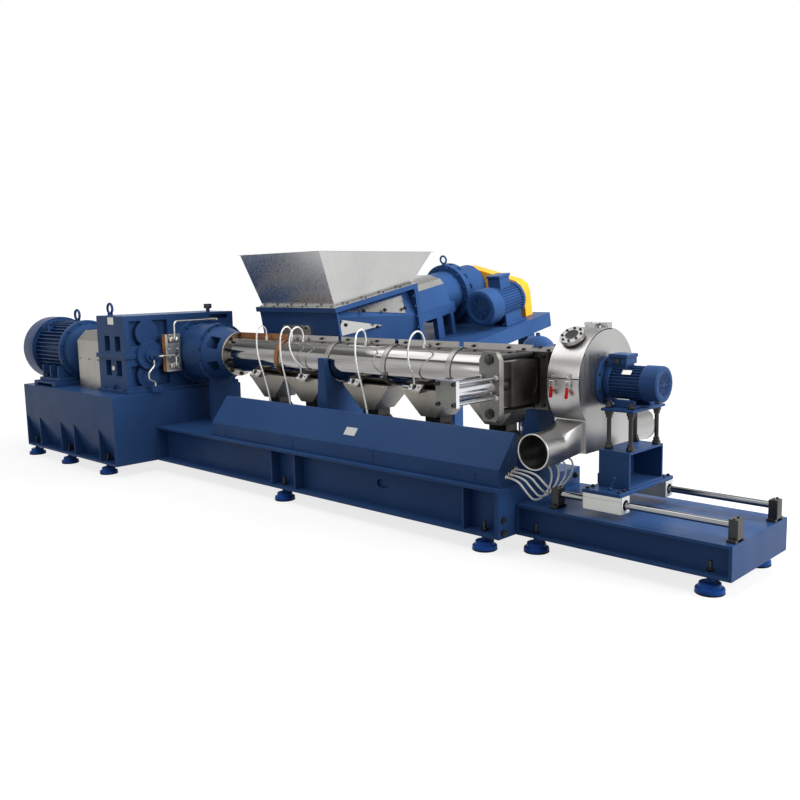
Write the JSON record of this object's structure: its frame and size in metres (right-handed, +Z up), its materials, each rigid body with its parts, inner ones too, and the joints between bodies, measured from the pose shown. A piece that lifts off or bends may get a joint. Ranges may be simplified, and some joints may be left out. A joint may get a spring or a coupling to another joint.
{
  "type": "plastic extruder",
  "caption": "Single-screw plastic extruder line with an inclined side feeder, a slide-plate screen changer and a die-face pelletizer on rails.",
  "frame": {"origin": "floor under the middle of the line's overall box", "axes": "+X along the barrel from the motor to the pelletizer, +Y to the feeder side, +Z up"},
  "size_m": [7.306, 4.0126, 1.933],
  "materials": {
    "blue_paint": "satin",
    "foot_blue": "satin",
    "stainless": "brushed",
    "polished": "polished",
    "dark_steel": "satin",
    "grey_steel": "satin",
    "aluminium": "satin",
    "brown_trim": "satin",
    "orange_paint": "satin",
    "cable_white": "matte"
  },
  "bodies": {
    "machine": {"accumulator": "blue_paint", "barrel_cable_1": "cable_white", "barrel_cable_2": "cable_white", "barrel_cable_3": "cable_white", "barrel_cable_4": "cable_white", "barrel_cable_5": "cable_white", "barrel_flange": "stainless", "belt_guard": "orange_paint", "cable_glands": "stainless", "cooling_ducts": "stainless", "cooling_fans": "dark_steel", "coupling_guard": "stainless", "cover_bands": "stainless", "cylinder_mount_plate": "grey_steel", "die_head": "grey_steel", "drive_base": "blue_paint", "end_cable_1": "cable_white", "end_cable_2": "cable_white", "end_cable_3": "cable_white", "end_cable_4": "cable_white", "feed_cover_trim": "brown_trim", "feed_throat": "stainless", "feeder_deck": "blue_paint", "feeder_gear_unit": "blue_paint", "feeder_hopper": "stainless", "feeder_lantern": "blue_paint", "feeder_motor": "blue_paint", "feeder_stand": "blue_paint", "feeder_trough": "blue_paint", "gearbox_fittings": "stainless", "gearbox_housing": "blue_paint", "guide_rails": "polished", "heater_boxes": "stainless", "heater_covers": "polished", "levelling_feet": "foot_blue", "lifting_eyes": "dark_steel", "main_frame": "blue_paint", "main_motor": "blue_paint", "motor_slide_base": "blue_paint", "oil_cooler": "brown_trim", "oil_pipes": "grey_steel", "rail_base": "blue_paint", "rail_end_blocks": "dark_steel", "screen_changer_body": "dark_steel", "side_guard": "blue_paint", "slide_cylinder": "polished", "support_stands": "blue_paint", "thrust_housing": "blue_paint", "trough_cover_plates": "stainless"},
    "carriage": {"bearing_blocks": "aluminium", "carriage_plate": "blue_paint", "stand_box": "blue_paint", "stand_rods": "dark_steel", "motor_plate": "blue_paint", "pelletizer_motor": "blue_paint", "hood_shell": "stainless", "outlet_ducts": "stainless", "toggle_clamps": "stainless"},
    "hood_door": {"hood_door": "stainless"},
    "screen_slide": {"screen_slide": "dark_steel"}
  },
  "joints": [
    {"name": "carriage_slide", "type": "slide", "parent": "machine", "child": "carriage", "axis": [1, 0, 0], "range_m": [0, 0.55]},
    {"name": "hood_door_hinge", "type": "hinge", "parent": "carriage", "child": "hood_door", "pos_m": [2.5875, -0.91388, 1.39368], "axis": [-1, 0, 0], "range_deg": [0, 110]},
    {"name": "screen_slide_stroke", "type": "slide", "parent": "machine", "child": "screen_slide", "axis": [0, 1, 0], "range_m": [0, 0.33]}
  ]
}
